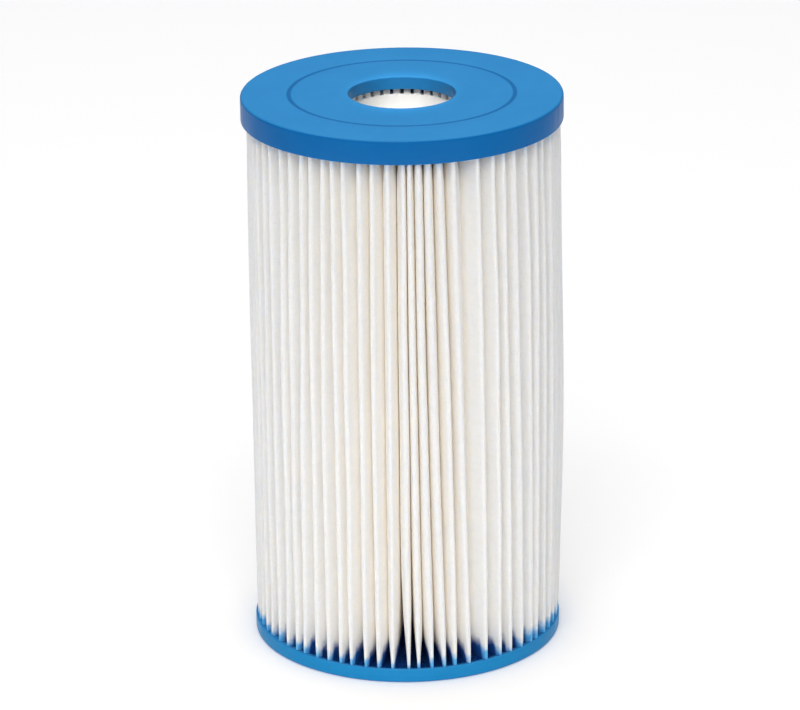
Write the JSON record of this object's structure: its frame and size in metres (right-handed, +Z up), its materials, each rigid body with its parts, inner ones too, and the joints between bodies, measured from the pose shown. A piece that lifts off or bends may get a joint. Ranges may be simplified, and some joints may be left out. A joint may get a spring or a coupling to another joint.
{
  "type": "filter cartridge",
  "caption": "Round pleated water filter cartridge: a deep-folded cloth ring round a windowed cage, with a moulded cap at each end and a bore right through.",
  "frame": {"origin": "centre of the lower cap's foot, on the cartridge's axis", "axes": "+Z up along the cartridge's axis; the side seam is on +Y, at the back; +X to the right seen from the front"},
  "size_m": [0.143, 0.143, 0.254],
  "materials": {
    "cap": "satin moulded soft plastic, mid blue",
    "resin": "cast resin, satin, mid blue",
    "filter_cloth": "white spunbonded polyester cloth, matte, faint fibre texture",
    "seam_glue": "hot-melt adhesive, dull, off white",
    "cage": "moulded plastic, white"
  },
  "bodies": {
    "root": {"end_cap_top": "cap", "end_cap_bottom": "cap", "resin_bed_top": "resin", "resin_bed_bottom": "resin", "pleated_media": "filter_cloth", "side_seam": "seam_glue", "cage_lower_half": "cage", "cage_upper_half": "cage"}
  },
  "joints": []
}
